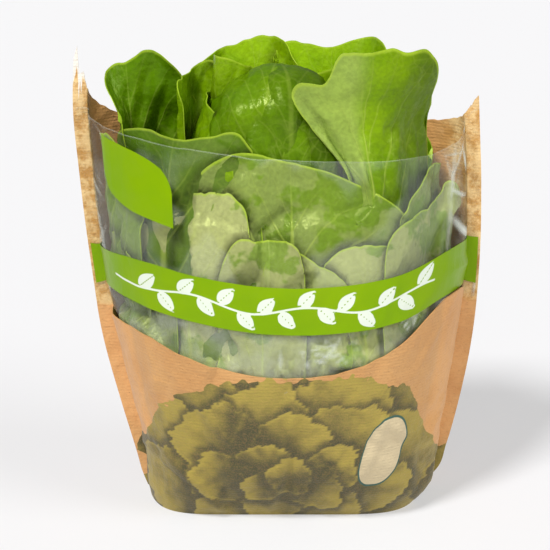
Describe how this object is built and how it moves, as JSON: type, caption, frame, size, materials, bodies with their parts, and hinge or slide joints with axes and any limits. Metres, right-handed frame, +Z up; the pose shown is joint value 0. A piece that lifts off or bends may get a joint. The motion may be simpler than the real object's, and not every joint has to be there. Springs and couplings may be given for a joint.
{
  "type": "butterhead lettuce in window bag",
  "caption": "Whole head of butterhead lettuce with its root plug, standing in an open kraft-paper bag with a clear front window.",
  "frame": {"origin": "middle of the bag's base, on the surface that it stands on, in the plane of its two side seams", "axes": "+Z up, -Y towards the window, +X to the right as seen facing the window"},
  "size_m": [0.2502, 0.133, 0.2965],
  "materials": {
    "kraft_paper": "matt brown kraft paper with a green printed band and an olive leaf print",
    "clear_film": "clear glossy film with a green printed band and patch",
    "lettuce_leaf": "fresh lettuce leaf, satin, with paler ribs and undersides",
    "peat_and_roots": "damp peat wound with pale roots"
  },
  "bodies": {
    "root": {"paper_bag": "kraft_paper", "window_film": "clear_film", "lettuce_head": "lettuce_leaf", "root_plug": "peat_and_roots"}
  },
  "joints": []
}
